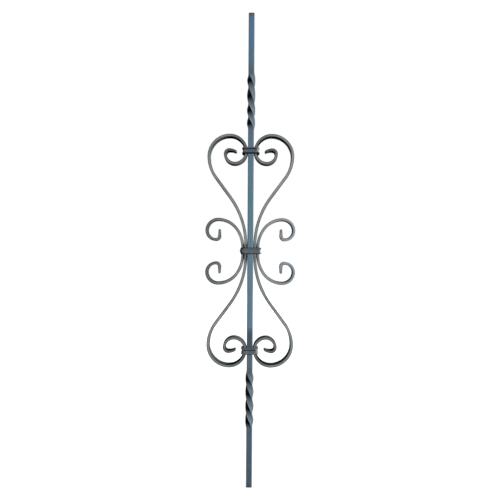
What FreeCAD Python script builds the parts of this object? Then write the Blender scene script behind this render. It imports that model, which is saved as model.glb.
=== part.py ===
import math
import os

import FreeCAD
import Part
import Sketcher

# Iron stair baluster: a square bar with two twisted stretches, a pair of heart scrolls and a pair of C-scrolls
# bent from flat bar, held together by three wrapped collars. +Z is up along the bar, the origin is the centre
# of its lower end, and the scrolls lie in the XZ plane with their front towards -Y.

Vector = FreeCAD.Vector
Constraint = Sketcher.Constraint
LEFT = 1
RIGHT = -1
QUARTER_TURN = 90
CORNER_FLATS = 3

# Driving dimensions in millimetres and degrees.
SIZES = {
    "bar_height": 950,
    "bar_width": 12,
    "bar_end_bevel": 2,
    "twist_length": 110,
    "twist_gap": 11,
    "twist_quarter_turns": 4,
    "stock_thickness": 6,
    "stock_width": 12,
    "tip_flat": 1.2,
    "heart_seat_margin": 4.5,
    "heart_flank_radius": 162,
    "heart_flank_angle": 36.4,
    "heart_shoulder_radius": 70,
    "heart_lobe_radius": 41.9,
    "heart_crown_radius": 32.6,
    "heart_curl_radius": 23.2,
    "heart_coil_radius": 18.7,
    "heart_eye_radius": 8.4,
    "heart_tip_radius": 27.2,
    "heart_tip_angle": 32,
    "c_seat_margin": 0.5,
    "c_flank_radius": 65,
    "c_flank_angle": 34.8,
    "c_shoulder_radius": 46,
    "c_shoulder_angle": 55.2,
    "c_lobe_radius": 22.4,
    "c_curl_radius": 18,
    "c_eye_radius": 7.3,
    "c_tip_length": 13.7,
    "collar_height": 13,
    "collar_lift": 2.4,
    "collar_wall": 2,
    "collar_ridge": 2.3,
    "collar_channel": 4.4,
    "collar_crest_inset": 1.7,
    "collar_seam": 0.8,
}

doc = FreeCAD.newDocument("stair_baluster")
sheet = doc.addObject("Spreadsheet::Sheet", "sizes")
for row, (alias, number) in enumerate(SIZES.items(), start=1):
    sheet.set(f"A{row}", alias)
    sheet.set(f"B{row}", str(number))
    sheet.setAlias(f"B{row}", alias)
doc.recompute()


def value(expression):
    """Number that an expression comes to."""
    return float(sheet.evalExpression(expression))


def new_body(label, turn=0, height="0"):
    """Empty body for one piece, turned about the bar and lifted to a height."""
    body = doc.addObject("PartDesign::Body", label)
    body.Label = label
    body.Placement = FreeCAD.Placement(Vector(), FreeCAD.Rotation(Vector(0, 0, 1), turn))
    body.setExpression(".Placement.Base.z", height)
    return body


def origin_plane(body, role):
    """One of the body's own origin planes or axes."""
    return next(feature for feature in body.Origin.OriginFeatures if feature.Role == role)


def new_sketch(body, name, role, lift="0"):
    """Sketch on an origin plane of the body, lifted along that plane's normal."""
    sketch = body.newObject("Sketcher::SketchObject", f"{body.Name}_{name}")
    sketch.AttachmentSupport = [(origin_plane(body, role), "")]
    sketch.MapMode = "FlatFace"
    sketch.setExpression(".AttachmentOffset.Base.z", lift)
    return sketch


def dimension(sketch, expression, *constraint):
    """Add a dimension to a sketch and bind it to an expression."""
    index = sketch.addConstraint(Constraint(*constraint, value(expression)))
    sketch.setExpression(f"Constraints[{index}]", expression)


def polygon(sketch, corners):
    """Closed outline of straight lines between corners that are given as pairs of expressions."""
    points = [Vector(value(x), value(y), 0) for x, y in corners]
    count = len(points)
    first = sketch.GeometryCount
    for index, point in enumerate(points):
        sketch.addGeometry(Part.LineSegment(point, points[(index + 1) % count]), False)
    for index, (x, y) in enumerate(corners):
        following = first + (index + 1) % count
        sketch.addConstraint(Constraint("Coincident", first + index, 2, following, 1))
        dimension(sketch, x, "DistanceX", -1, 1, first + index, 1)
        dimension(sketch, y, "DistanceY", -1, 1, first + index, 1)


def rectangle(sketch, width, depth, centre="0"):
    """Rectangle about a point on the sketch's X axis."""
    left = f"{centre} - {width} / 2"
    right = f"{centre} + {width} / 2"
    front = f"-{depth} / 2"
    back = f"{depth} / 2"
    polygon(sketch, [(left, front), (right, front), (right, back), (left, back)])


def eased_rectangle(sketch, width, depth, radius):
    """Rectangle about the sketch's origin whose corners are eased by short flats along an arc."""
    corners = []
    for quarter, (side_x, side_y) in enumerate([(1, 1), (-1, 1), (-1, -1), (1, -1)]):
        for step in range(CORNER_FLATS + 1):
            angle = QUARTER_TURN * (quarter + step / CORNER_FLATS)
            x = f"{side_x} * ({width} / 2 - {radius}) + {radius} * cos({angle})"
            y = f"{side_y} * ({depth} / 2 - {radius}) + {radius} * sin({angle})"
            corners.append((x, y))
    polygon(sketch, corners)


def all_edges(sketch):
    """A sketch's edges as the path of a sweep."""
    return (sketch, [f"Edge{index + 1}" for index in range(sketch.GeometryCount)])


class BentPath:
    """Centre line of a bent bar: straight runs and tangent bends, drawn upwards from a point on the X axis."""

    def __init__(self, body, start):
        self.sketch = new_sketch(body, "path", "XZ_Plane")
        self.start = start
        self.point = Vector(value(start), 0, 0)
        self.heading = math.pi / 2
        self.end = None

    def join(self, geometry, start_vertex, end_vertex):
        """Fix a new run to the end of the one before it, or to the start point."""
        if self.end:
            self.sketch.addConstraint(Constraint("Tangent", *self.end, geometry, start_vertex))
        else:
            self.sketch.addConstraint(Constraint("PointOnObject", geometry, start_vertex, -1))
            self.sketch.addConstraint(Constraint("Vertical", geometry))
            dimension(self.sketch, self.start, "DistanceX", -1, 1, geometry, start_vertex)
        self.end = (geometry, end_vertex)

    def free_straight(self, length):
        """Straight run that starts out at a length and is left to the constraints that follow."""
        end = self.point + Vector(math.cos(self.heading), math.sin(self.heading), 0) * length
        line = self.sketch.addGeometry(Part.LineSegment(self.point, end), False)
        self.join(line, 1, 2)
        self.point = end
        return line

    def straight(self, length):
        """Straight run of a set length."""
        line = self.free_straight(value(length))
        dimension(self.sketch, length, "Distance", line)

    def bend(self, radius, side, angle=str(QUARTER_TURN)):
        """Bend to the left or right by an angle."""
        turn = side * math.radians(value(angle))
        normal = Vector(-math.sin(self.heading), math.cos(self.heading), 0)
        centre = self.point + normal * (side * value(radius))
        begin = self.heading - side * math.pi / 2
        finish = begin + turn
        circle = Part.Circle(centre, Vector(0, 0, 1), value(radius))
        arc_shape = Part.ArcOfCircle(circle, min(begin, finish), max(begin, finish))
        arc = self.sketch.addGeometry(arc_shape, False)
        if side == LEFT:
            self.join(arc, 1, 2)
        else:
            self.join(arc, 2, 1)
        dimension(self.sketch, radius, "Radius", arc)
        span = self.sketch.addConstraint(Constraint("Angle", arc, abs(turn)))
        self.sketch.setExpression(f"Constraints[{span}]", angle)
        self.point = centre + Vector(math.cos(finish), math.sin(finish), 0) * value(radius)
        self.heading += turn


def sweep_scroll(body, path):
    """Sweep the flat bar along one half of a scroll, round its tip and mirror it to the other half."""
    section = new_sketch(body, "section", "XY_Plane")
    rectangle(section, "sizes.stock_thickness", "sizes.stock_width", path.start)
    doc.recompute()
    half = body.newObject("PartDesign::AdditivePipe", f"{body.Name}_half")
    half.Profile = section
    half.Spine = all_edges(path.sketch)
    doc.recompute()
    tip = Vector(path.point.x, 0, path.point.y)
    end_face = min(half.Shape.Faces, key=lambda face: face.CenterOfMass.distanceToPoint(tip))
    across = [edge for edge in end_face.Edges if edge.BoundBox.YLength > value("sizes.stock_width / 2")]
    names = [f"Edge{index}" for index, edge in enumerate(half.Shape.Edges, start=1)
             if any(edge.isSame(other) for other in across)]
    rounding = body.newObject("PartDesign::Fillet", f"{body.Name}_tip")
    rounding.Base = (half, names)
    rounding.setExpression("Radius", "(sizes.stock_thickness - sizes.tip_flat) / 2")
    doc.recompute()
    whole = body.newObject("PartDesign::Mirrored", f"{body.Name}_whole")
    whole.TransformMode = "Whole shape"
    whole.MirrorPlane = (origin_plane(body, "XY_Plane"), [""])
    body.Tip = whole
    doc.recompute()


# Heart scrolls: flat bar that lies against the square bar at the middle, swells out and comes back to touch it
# under the outer collars, then coils up inside the lobe.
MID_HEIGHT = "sizes.bar_height / 2"
HEART_LINE = "(sizes.bar_width + sizes.stock_thickness) / 2"


def heart_scroll(label, turn):
    """One heart scroll, on the right of the bar before it is turned."""
    body = new_body(label, turn, MID_HEIGHT)
    path = BentPath(body, HEART_LINE)
    path.straight("sizes.collar_height / 2 + sizes.heart_seat_margin")
    path.bend("sizes.heart_flank_radius", RIGHT, "sizes.heart_flank_angle")
    flank = math.radians(value("sizes.heart_flank_angle"))
    swell = value("sizes.heart_lobe_radius + sizes.heart_crown_radius")
    bends = value("sizes.heart_flank_radius + sizes.heart_shoulder_radius") * (1 - math.cos(flank))
    path.free_straight((swell - bends) / math.sin(flank))
    path.bend("sizes.heart_shoulder_radius", LEFT, "sizes.heart_flank_angle")
    path.bend("sizes.heart_lobe_radius", LEFT)
    path.bend("sizes.heart_crown_radius", LEFT)
    dimension(path.sketch, HEART_LINE, "DistanceX", -1, 1, *path.end)
    seat = path.sketch.addConstraint(Constraint("DistanceY", -1, 1, *path.end, path.point.y))
    path.sketch.setDriving(seat, False)
    path.sketch.renameConstraint(seat, "seat_height")
    path.bend("sizes.heart_curl_radius", LEFT)
    path.bend("sizes.heart_coil_radius", LEFT)
    path.bend("sizes.heart_eye_radius", LEFT)
    path.bend("sizes.heart_tip_radius", LEFT, "sizes.heart_tip_angle")
    sweep_scroll(body, path)
    return body


# C-scrolls: flat bar outside the heart scrolls, in the middle collar only, curled inwards at both ends.
def c_scroll(label, turn):
    """One C-scroll, on the right of the bar before it is turned."""
    body = new_body(label, turn, MID_HEIGHT)
    path = BentPath(body, "(sizes.bar_width + 3 * sizes.stock_thickness) / 2")
    path.straight("sizes.collar_height / 2 + sizes.c_seat_margin")
    path.bend("sizes.c_flank_radius", RIGHT, "sizes.c_flank_angle")
    path.bend("sizes.c_shoulder_radius", RIGHT, "sizes.c_shoulder_angle")
    path.bend("sizes.c_lobe_radius", RIGHT)
    path.bend("sizes.c_curl_radius", RIGHT)
    path.bend("sizes.c_eye_radius", RIGHT)
    path.straight("sizes.c_tip_length")
    sweep_scroll(body, path)
    return body


# Square bar: three plain runs with a twisted stretch between each two, clear of the scrolls, and bevelled ends.
SEAT_HEIGHT = "right_heart_scroll_path.Constraints.seat_height / 1 mm"
TWIST_START = f"({SEAT_HEIGHT} + sizes.heart_crown_radius + sizes.stock_thickness / 2 + sizes.twist_gap)"
SHANK_LENGTH = f"({MID_HEIGHT} - {TWIST_START} - sizes.twist_length)"


def bar_section(body, name, lift="0"):
    """Square section of the bar at a height."""
    section = new_sketch(body, f"{name}_section", "XY_Plane", lift)
    rectangle(section, "sizes.bar_width", "sizes.bar_width")
    return section


def plain_run(body, name, length, lift="0"):
    """Straight run of square bar from a height upwards."""
    run = body.newObject("PartDesign::Pad", f"{body.Name}_{name}_run")
    run.Profile = bar_section(body, name, lift)
    run.setExpression("Length", length)
    doc.recompute()
    return run


def square_bar(label):
    """The upright bar with its two twists, each a whole number of quarter turns to the left."""
    body = new_body(label)
    plain_run(body, "lower", SHANK_LENGTH)

    axis = new_sketch(body, "twist_axis", "XZ_Plane")
    foot = value(SHANK_LENGTH)
    head = foot + value("sizes.twist_length")
    line = axis.addGeometry(Part.LineSegment(Vector(0, foot, 0), Vector(0, head, 0)), False)
    axis.addConstraint(Constraint("PointOnObject", line, 1, -2))
    axis.addConstraint(Constraint("PointOnObject", line, 2, -2))
    dimension(axis, SHANK_LENGTH, "DistanceY", -1, 1, line, 1)
    dimension(axis, "sizes.twist_length", "DistanceY", line, 1, line, 2)
    guide = doc.addObject("Part::Helix", "twist_guide")
    guide.LocalCoord = "Left-handed"
    guide.setExpression("Radius", "sizes.bar_width")
    guide.setExpression("Height", "sizes.twist_length")
    guide.setExpression("Pitch", "4 * sizes.twist_length / round(sizes.twist_quarter_turns)")
    guide.setExpression(".Placement.Base.z", SHANK_LENGTH)
    section = bar_section(body, "twist", SHANK_LENGTH)
    doc.recompute()
    twist = body.newObject("PartDesign::AdditivePipe", f"{body.Name}_twist")
    twist.Profile = section
    twist.Spine = all_edges(axis)
    twist.Mode = "Auxiliary"
    twist.AuxiliarySpine = (guide, ["Edge1"])
    twist.AuxiliaryCurvilinear = True
    doc.recompute()

    plain_run(body, "middle", f"2 * {TWIST_START}", f"{SHANK_LENGTH} + sizes.twist_length")
    pair = body.newObject("PartDesign::LinearPattern", f"{body.Name}_twists")
    pair.Originals = [twist]
    pair.Direction = (origin_plane(body, "Z_Axis"), [""])
    pair.setExpression("Length", f"2 * {TWIST_START} + sizes.twist_length")
    pair.Occurrences = 2
    body.Tip = pair
    doc.recompute()
    upper = plain_run(body, "upper", SHANK_LENGTH, f"sizes.bar_height - {SHANK_LENGTH}")

    ends = (0, value("sizes.bar_height"))
    reach = value("sizes.bar_end_bevel")
    names = [f"Edge{index}" for index, edge in enumerate(upper.Shape.Edges, start=1)
             if any(all(abs(vertex.Z - end) < reach for vertex in edge.Vertexes) for end in ends)]
    bevel = body.newObject("PartDesign::Chamfer", f"{body.Name}_ends")
    bevel.Base = (upper, names)
    bevel.setExpression("Size", "sizes.bar_end_bevel")
    doc.recompute()
    return body


# Collars: a strip with a ridge along each edge, wrapped tight round the bundle of bars, its ends meeting in a
# seam at the back. The outer collars sit a little towards the crowns from where the heart scrolls touch the bar,
# and are wider by what the scrolls have bent away at the collar's edges.
BUNDLE_DEPTH = "max(sizes.bar_width; sizes.stock_width)"
COLLAR_OFFSET = f"({SEAT_HEIGHT} + sizes.collar_lift)"
CROWN_REACH = "(sizes.collar_height / 2 + sizes.collar_lift)"
CURL_REACH = "(sizes.collar_height / 2 - sizes.collar_lift)"


def sagitta(radius, reach):
    """How far the inner face of a bend has moved away from the bar at a reach along it."""
    face = f"({radius} - sizes.stock_thickness / 2)"
    return f"({face} - sqrt({face}^2 - {reach}^2))"


CROWN_BULGE = sagitta("sizes.heart_crown_radius", CROWN_REACH)
CURL_BULGE = sagitta("sizes.heart_curl_radius", CURL_REACH)
SEAT_BULGE = f"max({CROWN_BULGE}; {CURL_BULGE})"


def collar(label, height, bars_each_side, bulge="0"):
    """Collar round the square bar and a number of flat bars on each side of it, with room for their bend."""
    body = new_body(label, height=height)
    hole_width = f"(sizes.bar_width + {2 * bars_each_side} * sizes.stock_thickness + 2 * {bulge})"
    ring = new_sketch(body, "ring", "XY_Plane")
    eased_rectangle(ring, f"({hole_width} + 2 * sizes.collar_wall)",
                    f"({BUNDLE_DEPTH} + 2 * sizes.collar_wall)", "sizes.collar_wall")
    outline = all_edges(ring)
    rectangle(ring, hole_width, BUNDLE_DEPTH)
    strip = body.newObject("PartDesign::Pad", f"{body.Name}_strip")
    strip.Profile = ring
    strip.SideType = "Symmetric"
    strip.setExpression("Length", "sizes.collar_height")
    doc.recompute()

    face = f"{hole_width} / 2 + sizes.collar_wall"
    edge = "sizes.collar_height / 2"
    ridge_section = new_sketch(body, "ridge_section", "XZ_Plane")
    polygon(ridge_section, [
        (face, edge),
        (face, "sizes.collar_channel / 2"),
        (f"{face} + sizes.collar_ridge", f"{edge} - sizes.collar_crest_inset"),
    ])
    doc.recompute()
    ridge = body.newObject("PartDesign::AdditivePipe", f"{body.Name}_ridge")
    ridge.Profile = ridge_section
    ridge.Spine = outline
    ridge.Transition = "Right corner"
    doc.recompute()
    both = body.newObject("PartDesign::Mirrored", f"{body.Name}_ridges")
    both.Originals = [ridge]
    both.MirrorPlane = (origin_plane(body, "XY_Plane"), [""])
    body.Tip = both
    doc.recompute()

    slot = new_sketch(body, "seam_slot", "XZ_Plane")
    rectangle(slot, "sizes.collar_seam", "(2 * sizes.collar_height)")
    seam = body.newObject("PartDesign::Pocket", f"{body.Name}_seam")
    seam.Profile = slot
    seam.Type = "ThroughAll"
    doc.recompute()
    return body


pieces = [
    heart_scroll("right_heart_scroll", 0),
    heart_scroll("left_heart_scroll", 180),
    c_scroll("right_c_scroll", 0),
    c_scroll("left_c_scroll", 180),
    square_bar("square_bar"),
    collar("upper_collar", f"{MID_HEIGHT} + {COLLAR_OFFSET}", 1, SEAT_BULGE),
    collar("middle_collar", MID_HEIGHT, 2),
    collar("lower_collar", f"{MID_HEIGHT} - {COLLAR_OFFSET}", 1, SEAT_BULGE),
]
doc.recompute()

for item in doc.Objects:
    if "Invalid" in item.State or "Error" in item.State:
        raise RuntimeError(f"{item.Label} failed: {item.State}")
for piece in pieces:
    if piece.Shape.isNull() or not piece.Shape.isValid():
        raise RuntimeError(f"{piece.Label} has no valid shape")

os.makedirs("parts", exist_ok=True)
for piece in pieces:
    piece.Shape.exportStep(f"parts/{piece.Label}.step")
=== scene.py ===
import math

import bmesh
import bpy
from mathutils import Matrix, Vector, noise


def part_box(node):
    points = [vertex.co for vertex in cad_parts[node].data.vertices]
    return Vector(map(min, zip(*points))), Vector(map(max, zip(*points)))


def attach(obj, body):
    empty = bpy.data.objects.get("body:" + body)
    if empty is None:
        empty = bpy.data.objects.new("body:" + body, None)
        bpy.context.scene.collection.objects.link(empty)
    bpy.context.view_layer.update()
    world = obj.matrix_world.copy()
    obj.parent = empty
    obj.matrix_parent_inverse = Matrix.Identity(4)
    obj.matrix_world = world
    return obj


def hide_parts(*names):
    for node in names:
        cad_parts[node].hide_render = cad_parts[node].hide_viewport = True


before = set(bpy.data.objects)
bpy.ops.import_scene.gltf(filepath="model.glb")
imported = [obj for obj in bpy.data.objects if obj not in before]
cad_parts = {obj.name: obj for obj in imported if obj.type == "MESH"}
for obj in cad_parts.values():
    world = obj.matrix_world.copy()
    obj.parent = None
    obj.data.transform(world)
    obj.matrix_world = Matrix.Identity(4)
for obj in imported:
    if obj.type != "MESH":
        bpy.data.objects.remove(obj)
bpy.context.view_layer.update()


# The square bar: one length of hot-rolled square iron from tread to handrail, blue-grey with mill scale, with
# pale arrises that are partly wear and partly painted highlight, and painted shade along its left arrises.
# Two stretches were gripped in a vice and twisted a full turn to the left, a little unevenly, and both cut
# ends were dressed with a file.
BAR_WIDTH = 0.012
BAR_EDGE_RADIUS = 0.0005
BAR_END_BEVEL = 0.002
BAR_DENTS = 0.0001
BAR_DENT_LENGTH = 0.02
BAR_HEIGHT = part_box("square_bar")[1].z
MID_HEIGHT = BAR_HEIGHT / 2
TWIST_START = 0.24423
LOWER_QUARTERS = (0.0268, 0.0289, 0.0291, 0.0252)
UPPER_QUARTERS = (0.0249, 0.0257, 0.0339, 0.0255)
QUARTER_TURN = math.pi / 2
TURN_STEP = math.radians(3)
PLAIN_STEP = 0.004
FACE_CUTS = 4
EDGE_SEGMENTS = 6
EDGE_REACH = 0.0012
EDGE_FADE = 1.5
# How the tint, from heating or as painted shade or highlight, sits on the inside of a bend, and how fast it
# and the painted shade change along the bar.
INSIDE_HEAT_AND_SHADING = 0.5
HEAT_AND_SHADING_SPREAD = 0.2
# Painted shade inside the bends, and along the square bar's left arrises.
INSIDE_SHADE_REACH = 0.65
LEFT_ARRIS_SHADE = 0.45
SAME_POINT = 1e-7
SHARP_ANGLE = math.radians(40)
LEFT = 1
RIGHT = -1


def from_screen(red, green, blue):
    """A colour given in screen values from 0 to 255, as the linear colour that a shader takes."""
    shares = [value / 255 for value in (red, green, blue)]
    return tuple(s / 12.92 if s < 0.04045 else ((s + 0.055) / 1.055) ** 2.4 for s in shares) + (1.0,)


def clamp(value):
    return max(0.0, min(1.0, value))


class DrawnIron:
    """Iron drawn out ring by ring from a section.

    first_length is where along the stock the piece was cut, so that no two have the same scale. The attribute
    "stock" keeps where each point lay on the straight stock, "edge" marks its edges and bands, which carry
    painted shade or, on the square bar, pale wear and a painted highlight, "sheen" the faces that shine, the
    next attribute the tint of a stretch, from heating or as painted shade or highlight, and the last one
    where it is painted in shade."""

    def __init__(self, first_length):
        self.mesh = bmesh.new()
        self.stock = self.mesh.verts.layers.float_vector.new("stock")
        self.edge = self.mesh.verts.layers.float.new("edge")
        self.sheen = self.mesh.verts.layers.float.new("sheen")
        self.heat_and_shading = self.mesh.verts.layers.float.new("heat_and_shading_mask")
        self.painted_shade = self.mesh.verts.layers.float.new("painted_shade")
        self.along = first_length

    def open_section(self):
        """Keep the outline of the section as the first ring."""
        bmesh.ops.delete(self.mesh, geom=self.mesh.faces[:], context="FACES_ONLY")
        self.front = self.mesh.verts[:]
        self.ring = self.mesh.edges[:]
        self.first_ring = self.ring

    def grow(self, length):
        """Extrude the last ring in place, as the next stretch of stock."""
        grown = bmesh.ops.extrude_edge_only(self.mesh, edges=self.ring)["geom"]
        self.front = [item for item in grown if isinstance(item, bmesh.types.BMVert)]
        moved = set(self.front)
        self.ring = [item for item in grown
                     if isinstance(item, bmesh.types.BMEdge) and moved.issuperset(item.verts)]
        self.along += length
        for vert in self.front:
            vert[self.stock].z = self.along

    def close(self, ring):
        """Close an end with a flat face."""
        bmesh.ops.contextual_create(self.mesh, geom=ring)

    def weld(self):
        """Join the points that fell together, and turn every face outwards."""
        bmesh.ops.remove_doubles(self.mesh, verts=self.mesh.verts, dist=SAME_POINT)
        bmesh.ops.recalc_face_normals(self.mesh, faces=self.mesh.faces)


class DrawnBar(DrawnIron):
    """A bar that is bent or twisted in the plane of the scrolls.

    Its tint, from heating or as painted shade or highlight, is strongest on the outside of its bends, and it
    is painted in shade inside them and along arrises."""

    def __init__(self, thickness, width, edge_radius, start, first_length):
        super().__init__(first_length)
        self.half = thickness / 2
        self.point = Vector(start)
        self.heading = QUARTER_TURN
        placed = Matrix.Translation(self.point) @ Matrix.Diagonal((thickness, width, 1, 1))
        bmesh.ops.create_grid(self.mesh, x_segments=1, y_segments=1, size=0.5, matrix=placed)
        bmesh.ops.bevel(self.mesh, geom=self.mesh.verts[:], offset=edge_radius, segments=EDGE_SEGMENTS,
                        profile=0.5, affect="VERTICES", material=-1)
        flats = [edge for edge in self.mesh.edges if edge.calc_length() > edge_radius]
        bmesh.ops.subdivide_edges(self.mesh, edges=flats, cuts=FACE_CUTS)
        for vert in self.mesh.verts:
            across = vert.co.x - self.point.x
            deep = vert.co.y - self.point.y
            vert[self.stock] = (across, deep, self.along)
            from_corner = max(thickness / 2 - abs(across), width / 2 - abs(deep))
            vert[self.edge] = clamp((EDGE_FADE - from_corner / EDGE_REACH) / (EDGE_FADE - 1))
            vert[self.sheen] = max(0.0, 1 - (width - 2 * abs(deep)) / edge_radius)
        self.open_section()

    def direction(self):
        return Vector((math.cos(self.heading), 0, math.sin(self.heading)))

    def left_side(self):
        return Vector((-math.sin(self.heading), 0, math.cos(self.heading)))

    def draw(self, length, heat_and_shading=0.0, side=0, painted_shade=0.0):
        """Grow the bar in place, with the tint and the painted shade of that stretch, and the side it bends
        to.
        """
        self.grow(length)
        for vert in self.front:
            outwards = side * vert[self.stock].x / self.half
            outer_share = (1 + INSIDE_HEAT_AND_SHADING + (1 - INSIDE_HEAT_AND_SHADING) * outwards) / 2
            vert[self.heat_and_shading] += HEAT_AND_SHADING_SPREAD * (heat_and_shading * outer_share - vert[self.heat_and_shading])
            # Painted shade on the inside of the bend.
            inside_shade = painted_shade * max(0.0, 1 - (1 + outwards) / INSIDE_SHADE_REACH)
            vert[self.painted_shade] += HEAT_AND_SHADING_SPREAD * (inside_shade - vert[self.painted_shade])

    def advance(self, length):
        """Move the last ring straight on."""
        bmesh.ops.translate(self.mesh, verts=self.front, vec=self.direction() * length)
        self.point += self.direction() * length

    def straight(self, length, heat_and_shading=0.0, thinned=1.0):
        steps = math.ceil(length / PLAIN_STEP)
        for _ in range(steps):
            self.draw(length / steps, heat_and_shading)
            self.advance(length / steps)
            self.squeeze(thinned ** (1 / steps), 1.0)

    def bend(self, radius, side, angle=QUARTER_TURN, heat_and_shading=0.0, thinned=1.0, painted_shade=0.0):
        """Bend the bar round a former to the left or right, and hammer it thinner along the way."""
        steps = math.ceil(angle / TURN_STEP)
        centre = self.point + self.left_side() * (side * radius)
        turn = Matrix.Rotation(-side * angle / steps, 3, "Y")
        for _ in range(steps):
            self.draw(radius * angle / steps, heat_and_shading, side, painted_shade)
            bmesh.ops.rotate(self.mesh, verts=self.front, cent=centre, matrix=turn)
            self.point = centre + turn @ (self.point - centre)
            self.heading += side * angle / steps
            self.squeeze(thinned ** (1 / steps), 1.0)

    def twist(self, length, angle):
        """Turn the bar about its own length to the left while it goes on upwards."""
        steps = math.ceil(angle / TURN_STEP)
        turn = Matrix.Rotation(-angle / steps, 3, "Z")
        for _ in range(steps):
            self.draw(length / steps, 1.0)
            self.advance(length / steps)
            bmesh.ops.rotate(self.mesh, verts=self.front, cent=self.point, matrix=turn)

    def squeeze(self, across, deep):
        """Scale the last ring across the bar and through its depth."""
        side = self.left_side()
        for vert in self.front:
            offset = (vert.co - self.point).dot(side)
            vert.co -= side * (offset * (1 - across))
            vert.co.y = self.point.y + (vert.co.y - self.point.y) * deep

    def paint_left_arris_shade(self, share):
        """Paint shade along the arrises on the left of the bar."""
        for vert in self.mesh.verts:
            if vert[self.edge] > 0 and vert[self.stock].x < 0:
                vert[self.painted_shade] = share

    def finish(self, name, material, slot, dents, dent_length):
        """Sink the faces a little here and there, as rolling and hammering leave them, and place it."""
        self.weld()
        self.mesh.normal_update()
        for vert in self.mesh.verts:
            share = (1 + noise.noise(vert[self.stock] / dent_length)) / 2
            vert.co -= vert.normal * (dents * clamp(share))
        place_piece(self.mesh, name, material)


def place_piece(mesh, name, material):
    """Turn a bmesh into a smooth-shaded object that rides with the baluster and stands for its node."""
    data = bpy.data.meshes.new(name)
    mesh.to_mesh(data)
    mesh.free()
    data.shade_smooth()
    data.set_sharp_from_angle(angle=SHARP_ANGLE)
    data.materials.append(material)
    thing = bpy.data.objects.new(name + "_finish", data)
    bpy.context.collection.objects.link(thing)
    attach(thing, "root")
    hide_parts(name)


def put(tree, source, socket):
    """Link an output to an input, or set the input to a value."""
    if isinstance(source, bpy.types.NodeSocket):
        tree.links.new(source, socket)
    else:
        socket.default_value = source


def reckon(tree, operation, *sources):
    """Output of a math node."""
    node = tree.nodes.new("ShaderNodeMath")
    node.operation = operation
    for socket, source in zip(node.inputs, sources):
        put(tree, source, socket)
    return node.outputs["Value"]


def span(tree, source, low=0.0, high=1.0, to_low=0.0, to_high=1.0):
    """A value's range from low to high, clamped and stretched to another."""
    node = tree.nodes.new("ShaderNodeMapRange")
    for name, value in {"From Min": low, "From Max": high, "To Min": to_low, "To Max": to_high}.items():
        node.inputs[name].default_value = value
    put(tree, source, node.inputs["Value"])
    return node.outputs["Result"]


def lay(tree, under, over, mask):
    """Lay a colour over another through a mask."""
    node = tree.nodes.new("ShaderNodeMix")
    node.data_type = "RGBA"
    sockets = [socket for socket in node.inputs if socket.type == "RGBA"]
    put(tree, mask, node.inputs["Factor"])
    put(tree, under, sockets[0])
    put(tree, over, sockets[1])
    return next(socket for socket in node.outputs if socket.type == "RGBA")


def attribute(tree, name, output):
    """Output of a node that reads one of the mesh's own attributes."""
    node = tree.nodes.new("ShaderNodeAttribute")
    node.attribute_name = name
    return node.outputs[output]


SCALE_DEPTH = 0.0001
SCALE_STRENGTH = 0.4
GRAIN_SMOOTHER = 0.08
GRAIN_ROUGHER = 0.12
SHEEN_ROUGHNESS = 0.35
TONE_DRIFT = 0.006
STREAK_COLOUR = from_screen(48, 54, 60)
# Near black, laid on as painted shade.
PAINTED_SHADE_COLOUR = from_screen(10, 12, 14)


def rolled_scale_group():
    """Mill scale on rolled iron: broad patches, streaks along the bar, flakes, grain, and their height."""
    group = bpy.data.node_groups.new("rolled_scale", "ShaderNodeTree")
    group.interface.new_socket("Stock", in_out="INPUT", socket_type="NodeSocketVector")
    entry = group.nodes.new("NodeGroupInput")
    # How often each layer repeats in a metre across, through and along the bar, its detail and its roughness.
    layers = {
        "Patches": ((32, 32, 24), 2.0, 0.55),
        "Streaks": ((900, 900, 14), 3.0, 0.6),
        "Flakes": ((320, 320, 150), 4.0, 0.65),
        "Grain": ((1500, 1500, 1100), 2.0, 0.6),
    }
    for output in list(layers) + ["Height"]:
        group.interface.new_socket(output, in_out="OUTPUT", socket_type="NodeSocketFloat")
    result = group.nodes.new("NodeGroupOutput")
    values = {}
    for output, (stretch, detail, roughness) in layers.items():
        scaled = group.nodes.new("ShaderNodeVectorMath")
        scaled.operation = "MULTIPLY"
        scaled.inputs[1].default_value = stretch
        put(group, entry.outputs["Stock"], scaled.inputs[0])
        texture = group.nodes.new("ShaderNodeTexNoise")
        texture.inputs["Scale"].default_value = 1.0
        texture.inputs["Detail"].default_value = detail
        texture.inputs["Roughness"].default_value = roughness
        put(group, scaled.outputs["Vector"], texture.inputs["Vector"])
        values[output] = texture.outputs["Fac"]
        put(group, values[output], result.inputs[output])
    rolled = reckon(group, "ADD", values["Streaks"], values["Grain"])
    flaked = span(group, values["Flakes"], low=0.56, high=0.6, to_high=0.8)
    put(group, reckon(group, "SUBTRACT", rolled, flaked), result.inputs["Height"])
    return group


ROLLED_SCALE = rolled_scale_group()


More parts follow.
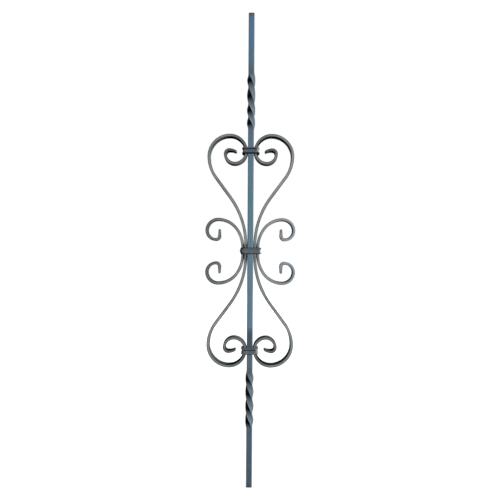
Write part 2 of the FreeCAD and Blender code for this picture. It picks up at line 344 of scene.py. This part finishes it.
def scaled_iron(name, tones, flake_colour, edge_colour, edge_share, heat_and_shading_colour, roughness, shine, run=None):
    """Bare iron under mill scale.

    tones are (place, colour) over the patches of scale or, with a run, over that length of bar; flake_colour
    shows where scale has come off, edge_colour is painted on the rounded edges and bands, as painted shade
    or, on the square bar, as pale wear and a painted highlight, and the tint colour goes where heating tinted
    a stretch or where it carries painted shade or highlight; shine is the most that the scale shines."""
    material = bpy.data.materials.new(name)
    material.use_nodes = True
    tree = material.node_tree
    shader = tree.nodes["Principled BSDF"]
    shader.inputs["Specular IOR Level"].default_value = 0.0
    shader.inputs["Coat Roughness"].default_value = SHEEN_ROUGHNESS

    stock = attribute(tree, "stock", "Vector")
    scale = tree.nodes.new("ShaderNodeGroup")
    scale.node_tree = ROLLED_SCALE
    put(tree, stock, scale.inputs["Stock"])

    ramp = tree.nodes.new("ShaderNodeValToRGB")
    stops = ramp.color_ramp.elements
    stops[0].position, stops[0].color = tones[0]
    stops[1].position, stops[1].color = tones[-1]
    for place, colour in tones[1:-1]:
        stops.new(place).color = colour
    if run:
        parts = tree.nodes.new("ShaderNodeSeparateXYZ")
        put(tree, stock, parts.inputs["Vector"])
        drift = span(tree, scale.outputs["Patches"], low=0.3, high=0.7, to_low=-TONE_DRIFT,
                     to_high=TONE_DRIFT)
        place = reckon(tree, "MULTIPLY_ADD", parts.outputs["Z"], 1 / run, drift)
    else:
        place = scale.outputs["Patches"]
    put(tree, place, ramp.inputs["Fac"])

    heat_and_shading = attribute(tree, "heat_and_shading_mask", "Fac")
    streaks = span(tree, scale.outputs["Streaks"], low=0.4, high=0.75, to_high=0.35)
    flakes = span(tree, scale.outputs["Flakes"], low=0.58, high=0.66, to_high=0.4)
    heat_and_shading_mask = reckon(tree, "MULTIPLY", heat_and_shading, scale.outputs["Patches"])
    edges = reckon(tree, "MULTIPLY", attribute(tree, "edge", "Fac"), scale.outputs["Grain"])
    # Tint from heating on the square bar's twists, painted shade on the heart scrolls and the left C-scroll,
    # painted highlight on the right C-scroll and the collars.
    colour = lay(tree, ramp.outputs["Color"], heat_and_shading_colour, span(tree, heat_and_shading_mask, high=0.4))
    colour = lay(tree, colour, STREAK_COLOUR, streaks)
    colour = lay(tree, colour, flake_colour, flakes)
    # Painted shade on the rounded edges and on the collars' bands; on the square bar pale wear and a painted
    # highlight.
    colour = lay(tree, colour, edge_colour, span(tree, edges, low=0.1, high=0.55, to_high=edge_share))
    # Painted shade, laid over all the rest.
    colour = lay(tree, colour, PAINTED_SHADE_COLOUR, attribute(tree, "painted_shade", "Fac"))
    put(tree, colour, shader.inputs["Base Color"])

    rough = span(tree, scale.outputs["Grain"], low=0.3, high=0.7, to_low=roughness - GRAIN_SMOOTHER,
                 to_high=roughness + GRAIN_ROUGHER)
    put(tree, rough, shader.inputs["Roughness"])
    shiny = span(tree, scale.outputs["Patches"], low=0.2, high=0.8, to_high=shine)
    shiny = reckon(tree, "MULTIPLY", shiny, attribute(tree, "sheen", "Fac"))
    dulled = span(tree, heat_and_shading, high=0.7, to_low=1.0, to_high=0.0)
    put(tree, reckon(tree, "MULTIPLY", shiny, dulled), shader.inputs["Coat Weight"])
    bump = tree.nodes.new("ShaderNodeBump")
    bump.inputs["Strength"].default_value = SCALE_STRENGTH
    bump.inputs["Distance"].default_value = SCALE_DEPTH
    put(tree, scale.outputs["Height"], bump.inputs["Height"])
    put(tree, bump.outputs["Normal"], shader.inputs["Normal"])
    return material


BAR_IRON = scaled_iron(
    "bar_iron",
    tones=[
        (0.004, from_screen(62, 70, 78)),
        (0.012, from_screen(72, 92, 110)),
        (0.11, from_screen(76, 98, 116)),
        (0.14, from_screen(84, 94, 106)),
        (0.23, from_screen(88, 98, 108)),
        (0.27, from_screen(92, 116, 128)),
        (0.295, from_screen(68, 84, 96)),
        (0.325, from_screen(68, 84, 98)),
        (0.34, from_screen(96, 128, 148)),
        (0.5, from_screen(102, 132, 150)),
        (0.6, from_screen(92, 130, 146)),
        (0.72, from_screen(94, 124, 146)),
        (0.755, from_screen(92, 106, 120)),
        (0.86, from_screen(92, 110, 122)),
        (0.9, from_screen(86, 119, 148)),
        (0.99, from_screen(82, 117, 146)),
        (0.996, from_screen(92, 90, 88)),
    ],
    flake_colour=from_screen(134, 144, 150),
    # Pale arrises, partly wear and partly painted highlight.
    edge_colour=from_screen(132, 145, 156),
    edge_share=0.65,
    heat_and_shading_colour=from_screen(88, 100, 109),
    roughness=0.5,
    shine=0.25,
    run=BAR_HEIGHT,
)

bar = DrawnBar(BAR_WIDTH, BAR_WIDTH, BAR_EDGE_RADIUS, start=(0, 0, 0), first_length=0.0)
dressed_share = 1 - 2 * BAR_END_BEVEL / BAR_WIDTH
shank = MID_HEIGHT - TWIST_START - sum(LOWER_QUARTERS)
bar.squeeze(dressed_share, dressed_share)
bar.draw(BAR_END_BEVEL)
bar.advance(BAR_END_BEVEL)
bar.squeeze(1 / dressed_share, 1 / dressed_share)
bar.straight(shank - BAR_END_BEVEL)
for quarter in LOWER_QUARTERS:
    bar.twist(quarter, QUARTER_TURN)
bar.straight(2 * TWIST_START)
for quarter in UPPER_QUARTERS:
    bar.twist(quarter, QUARTER_TURN)
bar.straight(shank - BAR_END_BEVEL)
bar.draw(BAR_END_BEVEL)
bar.advance(BAR_END_BEVEL)
bar.squeeze(dressed_share, dressed_share)
bar.close(bar.first_ring)
bar.close(bar.ring)
# Painted shade along the left arrises.
bar.paint_left_arris_shade(LEFT_ARRIS_SHADE)
bar.finish("square_bar", BAR_IRON, "bar_steel", BAR_DENTS, BAR_DENT_LENGTH)


# Heart scrolls: flat bar bent round formers, one length from the upper curl through the middle collar to the
# lower curl. It touches the square bar under the outer collars, and its ends are hammered thinner. Grey, with
# painted shade on the rounded edges, inside the bends, in the grooves at the middle, and over the bends, most
# on the crowns, eyes and tips.
STOCK_THICKNESS = 0.006
STOCK_WIDTH = 0.012
STOCK_EDGE_RADIUS = 0.0007
STOCK_DENTS = 0.0001
STOCK_DENT_LENGTH = 0.012
TIP_LENGTH = 0.0024
TIP_FLAT_SHARE = 0.3
TIP_STEPS = 6
HEART_LINE = (BAR_WIDTH + STOCK_THICKNESS) / 2
HEART_SEAT = 0.011
HEART_FLANK_RADIUS = 0.162
HEART_FLANK_ANGLE = math.radians(36.4)
HEART_SHOULDER_RADIUS = 0.070
HEART_LOBE_RADIUS = 0.0419
HEART_CROWN_RADIUS = 0.0326
HEART_CURL_RADIUS = 0.0232
HEART_COIL_RADIUS = 0.0187
HEART_EYE_RADIUS = 0.0084
HEART_TIP_RADIUS = 0.0272
HEART_TIP_ANGLE = math.radians(32)
HEART_TIP_THINNED = 0.66
# Painted shade in the grooves between the bars at the middle, stronger on the left than on the right.
SEAT_SHADE_ABOVE = 0.0145
SEAT_SHADE_BELOW = 0.022
SEAT_SHADE_FADE = 0.002
GROOVE_SHADE_REACH = 0.5
LEFT_SEAT_SHADE = 1.0
RIGHT_SEAT_SHADE = 0.6
SPARE_STOCK = 3.0
MIRROR_MERGE = 1e-6

HEART_IRON = scaled_iron(
    "heart_iron",
    tones=[
        (0.3, from_screen(126, 138, 138)),
        (0.5, from_screen(142, 147, 146)),
        (0.7, from_screen(156, 156, 158)),
    ],
    flake_colour=from_screen(184, 188, 188),
    # Painted shade on the rounded edges.
    edge_colour=from_screen(44, 47, 49),
    edge_share=0.95,
    # Painted shade over the bends, most on the crowns, eyes and tips.
    heat_and_shading_colour=from_screen(80, 85, 88),
    roughness=0.48,
    shine=0.4,
)


def hammer_tip(scroll):
    """Round the bar's end over in a few narrowing rings and close it."""
    reach = 0.0
    share = 1.0
    for step in range(1, TIP_STEPS + 1):
        turn = QUARTER_TURN * step / TIP_STEPS
        next_reach = TIP_LENGTH * math.sin(turn)
        next_share = TIP_FLAT_SHARE + (1 - TIP_FLAT_SHARE) * math.cos(turn)
        scroll.draw(next_reach - reach)
        scroll.advance(next_reach - reach)
        # Through its depth the end narrows a third as much.
        scroll.squeeze(next_share / share, (2 + next_share) / (2 + share))
        reach, share = next_reach, next_share
    scroll.close(scroll.ring)


def mirror_scroll(scroll, turned):
    """Mirror a half scroll about the middle, and turn a left-hand one half round the bar."""
    half = scroll.mesh.verts[:] + scroll.mesh.edges[:] + scroll.mesh.faces[:]
    bmesh.ops.mirror(scroll.mesh, geom=half, matrix=Matrix.Translation((0, 0, -MID_HEIGHT)),
                     merge_dist=MIRROR_MERGE, axis="Z")
    for vert in scroll.mesh.verts:
        if vert.co.z < MID_HEIGHT - MIRROR_MERGE:
            vert[scroll.stock].z = -vert[scroll.stock].z
    if turned:
        half_turn = Matrix.Rotation(math.pi, 3, "Z")
        bmesh.ops.rotate(scroll.mesh, verts=scroll.mesh.verts, cent=(0, 0, 0), matrix=half_turn)


def paint_seat_shade(scroll, share):
    """Paint shade at the middle, on the side that lies against a neighbour towards the square bar."""
    for vert in scroll.mesh.verts:
        rise = vert.co.z - MID_HEIGHT
        reach = min(SEAT_SHADE_ABOVE - rise, SEAT_SHADE_BELOW + rise) / SEAT_SHADE_FADE
        inwards = GROOVE_SHADE_REACH - vert[scroll.stock].x / scroll.half
        vert[scroll.painted_shade] = max(vert[scroll.painted_shade], share * clamp(inwards) * clamp(reach))


def heart_scroll(name, turned, first_length, seat_shade):
    """Bend one heart scroll on the right of the bar, from the middle to a curl, and mirror it."""
    start = (HEART_LINE, 0, MID_HEIGHT)
    scroll = DrawnBar(STOCK_THICKNESS, STOCK_WIDTH, STOCK_EDGE_RADIUS, start, first_length)
    swell = HEART_LOBE_RADIUS + HEART_CROWN_RADIUS
    bends = (HEART_FLANK_RADIUS + HEART_SHOULDER_RADIUS) * (1 - math.cos(HEART_FLANK_ANGLE))
    scroll.straight(HEART_SEAT)
    scroll.bend(HEART_FLANK_RADIUS, RIGHT, HEART_FLANK_ANGLE)
    scroll.straight((swell - bends) / math.sin(HEART_FLANK_ANGLE))
    scroll.bend(HEART_SHOULDER_RADIUS, LEFT, HEART_FLANK_ANGLE)
    # Painted shade over the bends, most on the crown, eye and tip, and inside them.
    scroll.bend(HEART_LOBE_RADIUS, LEFT, heat_and_shading=0.2, painted_shade=0.7)
    scroll.bend(HEART_CROWN_RADIUS, LEFT, heat_and_shading=0.7, painted_shade=1.0)
    scroll.bend(HEART_CURL_RADIUS, LEFT, heat_and_shading=0.4, painted_shade=0.7)
    scroll.bend(HEART_COIL_RADIUS, LEFT, heat_and_shading=0.45, painted_shade=0.5)
    scroll.bend(HEART_EYE_RADIUS, LEFT, heat_and_shading=0.8, painted_shade=0.9)
    tip_angle = HEART_TIP_ANGLE - TIP_LENGTH / HEART_TIP_RADIUS
    scroll.bend(HEART_TIP_RADIUS, LEFT, tip_angle, heat_and_shading=1.0, thinned=HEART_TIP_THINNED)
    hammer_tip(scroll)
    mirror_scroll(scroll, turned)
    paint_seat_shade(scroll, seat_shade)
    scroll.finish(name, HEART_IRON, "scroll_steel", STOCK_DENTS, STOCK_DENT_LENGTH)


heart_scroll("right_heart_scroll", turned=False, first_length=0.0, seat_shade=RIGHT_SEAT_SHADE)
heart_scroll("left_heart_scroll", turned=True, first_length=SPARE_STOCK, seat_shade=LEFT_SEAT_SHADE)


# C-scrolls: shorter lengths of the same flat bar, outside the heart scrolls and held a little low by the
# middle collar only. Each end is curled up with a straight tip. Like the heart scrolls, they have painted
# shade on the rounded edges, inside the bends and in the grooves at the middle. The left ones are also
# painted in shade on the shoulders and curls, the right ones have a painted pale blue highlight on the
# outside of the curls.
C_LINE = BAR_WIDTH / 2 + 1.5 * STOCK_THICKNESS
C_SEAT = 0.007
C_DROP = 0.0012
OUTER_HIGHLIGHT_FROM = 0.2
C_FLANK_RADIUS = 0.065
C_FLANK_ANGLE = math.radians(34.8)
C_SHOULDER_RADIUS = 0.046
C_SHOULDER_ANGLE = math.radians(55.2)
C_LOBE_RADIUS = 0.0224
C_CURL_RADIUS = 0.018
C_EYE_RADIUS = 0.0073
C_TIP_LENGTH = 0.0137
C_TIP_THINNED = 0.74


def c_iron(name, heat_and_shading_colour, edge_share):
    """The flat bar's iron, with the colour painted on the curls, a highlight on the right or shade on the
    left, and how strong the painted shade on its edges is.
    """
    return scaled_iron(
        name,
        tones=[
            (0.3, from_screen(128, 137, 137)),
            (0.5, from_screen(142, 146, 146)),
            (0.7, from_screen(158, 156, 159)),
        ],
        flake_colour=from_screen(182, 186, 186),
        # Painted shade on the rounded edges.
        edge_colour=from_screen(44, 47, 49),
        edge_share=edge_share,
        heat_and_shading_colour=heat_and_shading_colour,
        roughness=0.46,
        shine=0.4,
    )


def clear_outer_edge_shade(scroll, share):
    """Clear the painted shade from the outer edges of the strongly tinted bends, where they show a painted
    highlight.
    """
    for vert in scroll.mesh.verts:
        if vert[scroll.heat_and_shading] > OUTER_HIGHLIGHT_FROM and vert[scroll.stock].x < 0:
            vert[scroll.edge] *= 1 - share


def c_scroll(name, material, turned, first_length, shoulder_shading, curl_shading, curl_inside_shade, eye_inside_shade, seat_shade,
             outer_shade_cleared):
    """Bend one C-scroll on the right of the bar, from the middle to a curl, and mirror it."""
    start = (C_LINE, 0, MID_HEIGHT)
    scroll = DrawnBar(STOCK_THICKNESS, STOCK_WIDTH, STOCK_EDGE_RADIUS, start, first_length)
    scroll.straight(C_SEAT)
    scroll.bend(C_FLANK_RADIUS, RIGHT, C_FLANK_ANGLE)
    # Painted shade or highlight over the bends, and painted shade inside them.
    scroll.bend(C_SHOULDER_RADIUS, RIGHT, C_SHOULDER_ANGLE, heat_and_shading=shoulder_shading)
    scroll.bend(C_LOBE_RADIUS, RIGHT, heat_and_shading=curl_shading, painted_shade=curl_inside_shade)
    scroll.bend(C_CURL_RADIUS, RIGHT, heat_and_shading=curl_shading, painted_shade=curl_inside_shade)
    scroll.bend(C_EYE_RADIUS, RIGHT, heat_and_shading=curl_shading / 2, painted_shade=eye_inside_shade)
    scroll.straight(C_TIP_LENGTH - TIP_LENGTH, heat_and_shading=shoulder_shading, thinned=C_TIP_THINNED)
    hammer_tip(scroll)
    mirror_scroll(scroll, turned)
    bmesh.ops.translate(scroll.mesh, verts=scroll.mesh.verts, vec=(0, 0, -C_DROP))
    paint_seat_shade(scroll, seat_shade)
    clear_outer_edge_shade(scroll, outer_shade_cleared)
    scroll.finish(name, material, "scroll_steel", STOCK_DENTS, STOCK_DENT_LENGTH)


# The right C-scroll is the lit copy, with a painted pale blue highlight on its curls and weaker painted shade
# on its edges; the left one is the shaded copy, with painted shade on its shoulders, curls and edges.
HIGHLIT_C_IRON = c_iron("highlit_c_iron", heat_and_shading_colour=from_screen(146, 163, 176), edge_share=0.75)
SHADED_C_IRON = c_iron("shaded_c_iron", heat_and_shading_colour=from_screen(78, 81, 83), edge_share=0.9)
c_scroll("right_c_scroll", HIGHLIT_C_IRON, turned=False, first_length=2 * SPARE_STOCK, shoulder_shading=0.0,
         curl_shading=0.6, curl_inside_shade=1.0, eye_inside_shade=0.4, seat_shade=RIGHT_SEAT_SHADE, outer_shade_cleared=1.0)
c_scroll("left_c_scroll", SHADED_C_IRON, turned=True, first_length=3 * SPARE_STOCK, shoulder_shading=0.3,
         curl_shading=0.6, curl_inside_shade=0.3, eye_inside_shade=1.0, seat_shade=LEFT_SEAT_SHADE, outer_shade_cleared=0.0)


# Collars: strip with a ridge along each edge and a hollow channel between, wrapped hot round the bars so that
# it shrinks tight, with a seam at the back. Dark grey, with painted shade in bands along the ridges and a
# painted highlight on the rest of their outer half and on the right end. The middle one is hammered over at
# its left end instead, where the ridges run out into a single bulge that is painted in shade.
COLLAR_HEIGHT = 0.013
COLLAR_WALL = 0.002
COLLAR_RIDGE = 0.0023
COLLAR_CHANNEL = 0.0044
COLLAR_CREST_INSET = 0.0017
COLLAR_SEAM = 0.0008
COLLAR_CREST_EASE = 0.0006
COLLAR_CHANNEL_EASE = 0.002
EASE_SEGMENTS = 5
COLLAR_STEP = 0.0015
CORNER_STEPS = 10
BULGE_EDGE = 0.0006
BULGE_RISE = 0.0021
BULGE_RUN = 0.005
BULGE_FULLNESS = 1.6
INNER_FACE = 1e-5
RIDGE_HIGHLIGHT = 0.35
RIGHT_END_HIGHLIGHT_RUN = 0.003
# Heights of the bands along the collars that carry painted shade.
LOWER_RIM = (-0.007, -0.0048)
UPPER_RIM = (0.0048, 0.007)
UPPER_GROOVE = (0.001, 0.0038)


def collar_iron(name, tint):
    """The collars' dark iron, with the tint that shows in its lightest patches."""
    return scaled_iron(
        name,
        tones=[
            (0.3, from_screen(78, 89, 95)),
            (0.5, from_screen(84, 94, 100)),
            (0.66, tint),
        ],
        flake_colour=from_screen(130, 138, 142),
        # Painted shade on the bands along the ridges and on the hammered bulge.
        edge_colour=from_screen(34, 38, 42),
        edge_share=0.95,
        # Painted highlight on the ridges and the right end.
        heat_and_shading_colour=from_screen(136, 142, 144),
        roughness=0.46,
        shine=1.0,
    )


BLUED_COLLAR_IRON = collar_iron("blued_collar_iron", from_screen(110, 104, 132))
GREY_COLLAR_IRON = collar_iron("grey_collar_iron", from_screen(92, 97, 98))


class WrappedStrip(DrawnIron):
    """The collar's ridged strip, wrapped from one side of the seam round the bundle to the other."""

    def __init__(self, name, first_length, painted_shade_bands):
        super().__init__(first_length)
        low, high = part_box(name)
        self.middle = (low.z + high.z) / 2
        self.half_width = (high.x - low.x) / 2 - COLLAR_WALL - COLLAR_RIDGE
        self.half_depth = (high.y - low.y) / 2 - COLLAR_WALL - COLLAR_RIDGE
        edge = COLLAR_HEIGHT / 2
        upper = [
            (0, edge),
            (COLLAR_WALL, edge),
            (COLLAR_WALL + COLLAR_RIDGE, edge - COLLAR_CREST_INSET),
            (COLLAR_WALL, COLLAR_CHANNEL / 2),
        ]
        outline = upper + [(out, -up) for out, up in reversed(upper)]
        corners = [self.mesh.verts.new((-COLLAR_SEAM / 2, self.half_depth + out, self.middle + up))
                   for out, up in outline]
        self.mesh.faces.new(corners)
        self.round_over([corners[3], corners[4]], COLLAR_CHANNEL_EASE)
        self.round_over([corners[2], corners[5]], COLLAR_CREST_EASE)
        for vert in self.mesh.verts:
            out = vert.co.y - self.half_depth
            up = vert.co.z - self.middle
            vert[self.stock] = (out, up, self.along)
            # The bands carry painted shade.
            vert[self.edge] = 1.0 if any(bottom < up < top for bottom, top in painted_shade_bands) else 0.0
            vert[self.sheen] = 1 - vert[self.edge]
            # Painted highlight on the outer half of the ridges, outside the bands of painted shade.
            vert[self.heat_and_shading] = RIDGE_HIGHLIGHT * (1 - vert[self.edge]) if out > COLLAR_WALL + COLLAR_RIDGE / 2 else 0.0
        self.open_section()

    def round_over(self, corners, offset):
        bmesh.ops.bevel(self.mesh, geom=corners, offset=offset, segments=EASE_SEGMENTS, profile=0.5,
                        affect="VERTICES", material=-1)

    def straight(self, length, heading):
        steps = math.ceil(length / COLLAR_STEP)
        for _ in range(steps):
            self.grow(length / steps)
            bmesh.ops.translate(self.mesh, verts=self.front, vec=Vector(heading) * (length / steps))

    def corner(self, side_x, side_y):
        """Wrap the strip round a corner of the bundle."""
        pivot = (side_x * self.half_width, side_y * self.half_depth, self.middle)
        turn = Matrix.Rotation(QUARTER_TURN / CORNER_STEPS, 3, "Z")
        for _ in range(CORNER_STEPS):
            self.grow(COLLAR_WALL * QUARTER_TURN / CORNER_STEPS)
            bmesh.ops.rotate(self.mesh, verts=self.front, cent=pivot, matrix=turn)

    def hammer_left_end(self):
        """Close the ridges up into one bulge round the left end, painted in shade."""
        for vert in self.mesh.verts:
            out = vert[self.stock].x
            if out > INNER_FACE:
                inside = Vector((
                    max(-self.half_width, min(self.half_width, vert.co.x)),
                    max(-self.half_depth, min(self.half_depth, vert.co.y)),
                    vert.co.z,
                ))
                share = clamp((BULGE_RUN - self.half_width - inside.x) / BULGE_RUN)
                height = abs(vert[self.stock].y) / (COLLAR_HEIGHT / 2)
                bulge = BULGE_EDGE + BULGE_RISE * (1 - height ** BULGE_FULLNESS)
                vert.co = inside + (vert.co - inside) * (1 + share * (bulge / out - 1))
                # The bulge takes the painted shade.
                vert[self.edge] += share * (1 - vert[self.edge])
                vert[self.sheen] *= 1 - share
                vert[self.heat_and_shading] *= 1 - share

    def paint_right_end_highlight(self):
        """Paint a highlight on the right end above the lower rim, in place of its painted shade."""
        for vert in self.mesh.verts:
            share = clamp((vert.co.x - self.half_width) / RIGHT_END_HIGHLIGHT_RUN + 1)
            if vert[self.stock].y > LOWER_RIM[1]:
                vert[self.edge] *= 1 - share
                vert[self.heat_and_shading] = max(vert[self.heat_and_shading], share)

    def finish(self, name, material):
        """Close the strip's ends on both sides of the seam, and place it."""
        self.close(self.first_ring)
        self.close(self.ring)
        self.weld()
        place_piece(self.mesh, name, material)


def collar(name, material, first_length, painted_shade_bands, hammered=False):
    """Wrap one collar from the seam at the back, round the left end, the front and the right end."""
    strip = WrappedStrip(name, first_length, painted_shade_bands)
    to_seam = strip.half_width - COLLAR_SEAM / 2
    strip.straight(to_seam, (-1, 0, 0))
    strip.corner(-1, 1)
    strip.straight(2 * strip.half_depth, (0, -1, 0))
    strip.corner(-1, -1)
    strip.straight(2 * strip.half_width, (1, 0, 0))
    strip.corner(1, -1)
    strip.straight(2 * strip.half_depth, (0, 1, 0))
    strip.corner(1, 1)
    strip.straight(to_seam, (-1, 0, 0))
    if hammered:
        strip.hammer_left_end()
    else:
        strip.paint_right_end_highlight()
    strip.finish(name, material)


collar("upper_collar", BLUED_COLLAR_IRON, 4 * SPARE_STOCK, [LOWER_RIM, UPPER_GROOVE])
collar("middle_collar", BLUED_COLLAR_IRON, 5 * SPARE_STOCK, [LOWER_RIM, UPPER_RIM], hammered=True)
collar("lower_collar", GREY_COLLAR_IRON, 6 * SPARE_STOCK, [LOWER_RIM, UPPER_GROOVE])


# Stage: a pale floor under the lower end, white to the eye but still taking the shadow, and a white studio
# that lights the object with one soft lamp from far to the right and two weaker ones from behind.
FLOOR_SIZE = 30.0
FLOOR_GREY = 0.35
FLOOR_BOUNCE = 0.04
FLOOR_ROUGHNESS = 0.9
NEAR_GLOW = 0.9
NEAR_REACH = 0.25
FAR_REACH = 0.9
AMBIENT = 0.04
WHITE = (1, 1, 1, 1)
CENTRE = Vector((0, 0, MID_HEIGHT))

floor_mesh = bmesh.new()
bmesh.ops.create_grid(floor_mesh, x_segments=1, y_segments=1, size=FLOOR_SIZE / 2)
floor_data = bpy.data.meshes.new("floor")
floor_mesh.to_mesh(floor_data)
floor_mesh.free()
floor = bpy.data.objects.new("floor", floor_data)
bpy.context.collection.objects.link(floor)


def background_share(tree):
    """1 for the rays that see the background as it looks, and 0 for those that carry light."""
    rays = tree.nodes.new("ShaderNodeLightPath")
    seen = reckon(tree, "MAXIMUM", rays.outputs["Is Camera Ray"], rays.outputs["Is Glossy Ray"])
    return reckon(tree, "MAXIMUM", seen, rays.outputs["Is Transmission Ray"])


floor_paint = bpy.data.materials.new("floor_paint")
floor_paint.use_nodes = True
floor_tree = floor_paint.node_tree
floor_shader = floor_tree.nodes["Principled BSDF"]
floor_seen = background_share(floor_tree)
floor_colour = span(floor_tree, floor_seen, to_low=FLOOR_BOUNCE, to_high=FLOOR_GREY)
put(floor_tree, floor_colour, floor_shader.inputs["Base Color"])
floor_shader.inputs["Roughness"].default_value = FLOOR_ROUGHNESS
floor_shader.inputs["Specular IOR Level"].default_value = 0.0
floor_shader.inputs["Emission Color"].default_value = WHITE
floor_place = floor_tree.nodes.new("ShaderNodeTexCoord")
floor_distance = floor_tree.nodes.new("ShaderNodeVectorMath")
floor_distance.operation = "LENGTH"
put(floor_tree, floor_place.outputs["Object"], floor_distance.inputs[0])
floor_glow = span(floor_tree, floor_distance.outputs["Value"], NEAR_REACH, FAR_REACH, to_low=NEAR_GLOW)
floor_strength = reckon(floor_tree, "MULTIPLY", floor_seen, floor_glow)
put(floor_tree, floor_strength, floor_shader.inputs["Emission Strength"])
floor_data.materials.append(floor_paint)

world = bpy.data.worlds.new("studio")
world.use_nodes = True
bpy.context.scene.world = world
world_glow = world.node_tree.nodes["Background"]
world_glow.inputs["Color"].default_value = WHITE
world_strength = span(world.node_tree, background_share(world.node_tree), to_low=AMBIENT)
put(world.node_tree, world_strength, world_glow.inputs["Strength"])


def soft_lamp(name, place, size, power):
    """Round lamp at a place that is given from the baluster's centre, turned towards it."""
    lamp = bpy.data.lights.new(name, "AREA")
    lamp.shape = "DISK"
    lamp.size = size
    lamp.energy = power
    thing = bpy.data.objects.new(name, lamp)
    thing.location = CENTRE + Vector(place)
    thing.rotation_euler = (-Vector(place)).to_track_quat("-Z", "Y").to_euler()
    bpy.context.collection.objects.link(thing)


soft_lamp("key_lamp", place=(6.0, -3.5, 0.6), size=1.6, power=890)
soft_lamp("back_lamp", place=(0.6, 2.6, 0.5), size=1.2, power=40)
soft_lamp("left_lamp", place=(-1.9, 1.9, 0.4), size=1.2, power=16)


# Camera: straight on at the middle of the baluster, nearer than the baluster is tall, and tilted and rolled
# by a fraction of a degree. The scale is that of the plane of the front faces.
IMAGE_SIDE = 500
SENSOR_WIDTH = 36.0
FRONT_PLANE = -STOCK_WIDTH / 2
METRES_PER_PIXEL = 0.001993
CAMERA_DISTANCE = 0.62
CAMERA_ROLL = 0.006
CAMERA_PITCH = -0.0041
CENTRE_PIXEL = (250.3, 252.1)

camera_data = bpy.data.cameras.new("camera")
camera_data.sensor_fit = "HORIZONTAL"
camera_data.sensor_width = SENSOR_WIDTH
camera_data.lens = SENSOR_WIDTH * CAMERA_DISTANCE / (IMAGE_SIDE * METRES_PER_PIXEL)
camera = bpy.data.objects.new("camera", camera_data)
camera.location = (
    (IMAGE_SIDE / 2 - CENTRE_PIXEL[0]) * METRES_PER_PIXEL,
    FRONT_PLANE - CAMERA_DISTANCE,
    MID_HEIGHT + (CENTRE_PIXEL[1] - IMAGE_SIDE / 2) * METRES_PER_PIXEL,
)
tilted = Matrix.Rotation(QUARTER_TURN + CAMERA_PITCH, 3, "X")
camera.rotation_euler = (tilted @ Matrix.Rotation(CAMERA_ROLL, 3, "Z")).to_euler()
bpy.context.collection.objects.link(camera)
bpy.context.scene.camera = camera
bpy.context.scene.view_settings.view_transform = "Standard"
